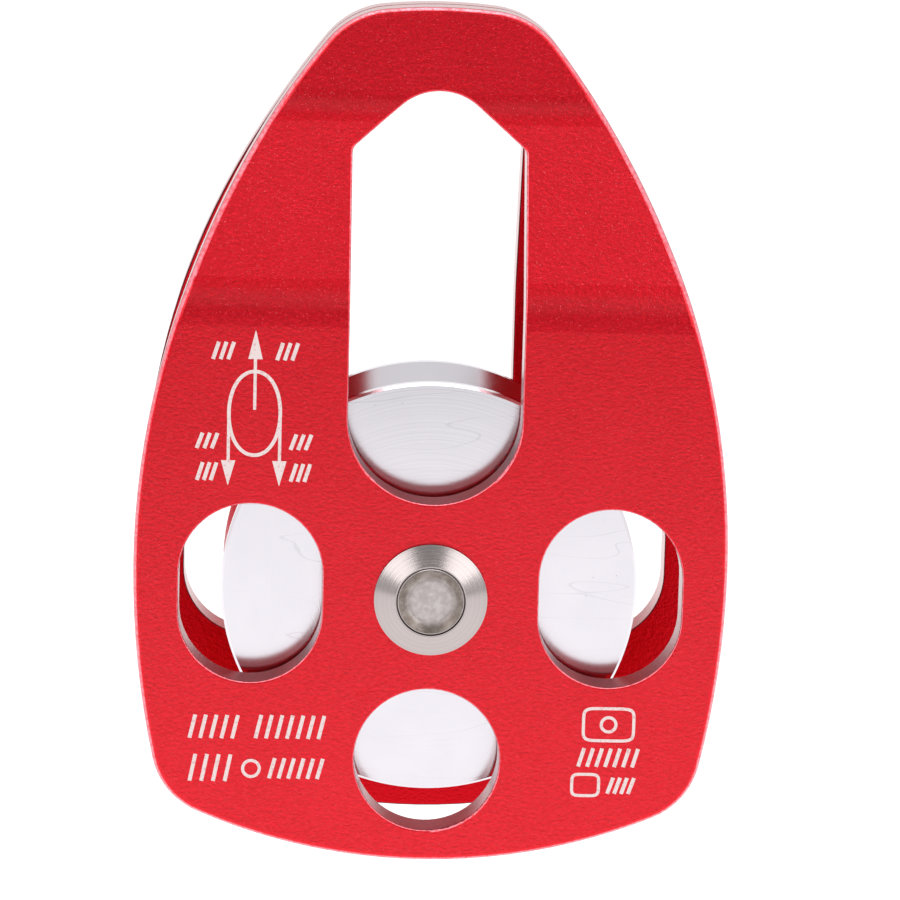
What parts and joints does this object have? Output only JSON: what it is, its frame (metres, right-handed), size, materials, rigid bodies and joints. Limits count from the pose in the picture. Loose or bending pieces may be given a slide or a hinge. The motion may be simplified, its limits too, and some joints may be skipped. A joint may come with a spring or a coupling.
{
  "type": "rope pulley",
  "caption": "Swing-cheek rope pulley: joggled side plates that meet at a carabiner eye, and a wide grooved wheel on ball bearings.",
  "frame": {"origin": "centre of the sheave, on the axle", "axes": "+Y along the axle from the front cheek to the rear cheek, +Z from the axle to the carabiner eye"},
  "size_m": [0.096, 0.0426, 0.1382],
  "materials": {
    "red_anodised_plate": "bead blasted and red anodised, satin",
    "turned_aluminium": "turned and polished",
    "turned_stainless": "turned, with a punched dull pin end",
    "bearing_steel": "ground bright",
    "cage_nylon": "natural nylon",
    "seal_rubber": "moulded nitrile",
    "spring_steel": "phosphated black",
    "washer_steel": "turned"
  },
  "bodies": {
    "rear_cheek": {"rear_cheek": "red_anodised_plate"},
    "axle": {"axle_pin": "turned_stainless", "race_spacer": "washer_steel", "front_collar": "turned_stainless", "front_thrust_washer": "washer_steel", "front_inner_race": "bearing_steel", "rear_collar": "turned_stainless", "rear_thrust_washer": "washer_steel", "rear_inner_race": "bearing_steel"},
    "front_cheek": {"front_cheek": "red_anodised_plate"},
    "sheave": {"sheave": "turned_aluminium", "front_outer_race": "bearing_steel", "front_outboard_seal": "seal_rubber", "front_inboard_seal": "seal_rubber", "front_retaining_ring": "spring_steel", "rear_outer_race": "bearing_steel", "rear_outboard_seal": "seal_rubber", "rear_inboard_seal": "seal_rubber", "rear_retaining_ring": "spring_steel"},
    "front_ball_set": {"front_balls": "bearing_steel", "front_ball_cage": "cage_nylon"},
    "rear_ball_set": {"rear_balls": "bearing_steel", "rear_ball_cage": "cage_nylon"}
  },
  "joints": [
    {"name": "axle_turn", "type": "hinge", "parent": "rear_cheek", "child": "axle", "pos_m": [0, 0, 0], "axis": [0, 1, 0], "continuous": true},
    {"name": "front_cheek_swing", "type": "hinge", "parent": "axle", "child": "front_cheek", "pos_m": [0, 0, 0], "axis": [0, 1, 0], "continuous": true},
    {"name": "sheave_spin", "type": "hinge", "parent": "axle", "child": "sheave", "pos_m": [0, 0, 0], "axis": [0, 1, 0], "continuous": true},
    {"name": "front_ball_orbit", "type": "hinge", "parent": "axle", "child": "front_ball_set", "pos_m": [0, 0, 0], "axis": [0, 1, 0], "continuous": true},
    {"name": "rear_ball_orbit", "type": "hinge", "parent": "axle", "child": "rear_ball_set", "pos_m": [0, 0, 0], "axis": [0, 1, 0], "continuous": true}
  ],
  "couplings": [
    {"joint": "front_ball_orbit", "follows": "sheave_spin", "ratio": 0.6175},
    {"joint": "rear_ball_orbit", "follows": "sheave_spin", "ratio": 0.6175}
  ]
}
